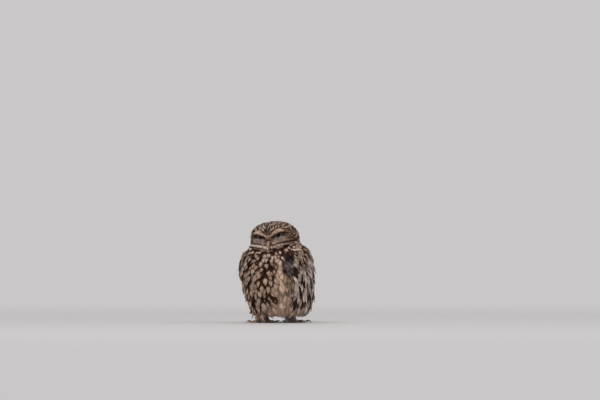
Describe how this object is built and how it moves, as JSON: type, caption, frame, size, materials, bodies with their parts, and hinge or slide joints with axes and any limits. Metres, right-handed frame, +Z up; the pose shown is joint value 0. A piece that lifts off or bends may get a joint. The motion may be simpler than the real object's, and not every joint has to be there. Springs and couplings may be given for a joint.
{
  "type": "little owl",
  "caption": "Life-size little owl, fluffed up and hunched on both feet, head turned to its right with a frown, wings and tail folded; stands on a floor.",
  "frame": {"origin": "on the floor, below the middle of the owl's bounding box", "axes": "+Z up, -Y the way the breast faces, +X the owl's left"},
  "size_m": [0.1102, 0.1684, 0.1481],
  "materials": {
    "plumage": "soft feathers, dull brown with pale spots",
    "flight_feathers": "smooth vanes, dull brown with pale bars",
    "toe_skin": "dull, bristly",
    "lid_skin": "dull",
    "claw_horn": "smooth horn",
    "bill_horn": "smooth horn",
    "eyeball": "wet, glossy"
  },
  "bodies": {
    "root": {"torso": "plumage", "neck": "plumage", "wing_left": "flight_feathers", "wing_right": "flight_feathers", "tail": "flight_feathers", "leg_left": "plumage", "foot_left": "toe_skin", "toe_hind_left": "toe_skin", "claw_hind_left": "claw_horn", "toe_inner_left": "toe_skin", "claw_inner_left": "claw_horn", "toe_middle_left": "toe_skin", "claw_middle_left": "claw_horn", "toe_outer_left": "toe_skin", "claw_outer_left": "claw_horn", "leg_right": "plumage", "foot_right": "toe_skin", "toe_hind_right": "toe_skin", "claw_hind_right": "claw_horn", "toe_inner_right": "toe_skin", "claw_inner_right": "claw_horn", "toe_middle_right": "toe_skin", "claw_middle_right": "claw_horn", "toe_outer_right": "toe_skin", "claw_outer_right": "claw_horn", "head": "plumage", "bill_upper": "bill_horn", "bill_lower": "bill_horn", "eye_left": "eyeball", "lid_upper_left": "lid_skin", "lid_lower_left": "lid_skin", "eye_right": "eyeball", "lid_upper_right": "lid_skin", "lid_lower_right": "lid_skin"}
  },
  "joints": []
}
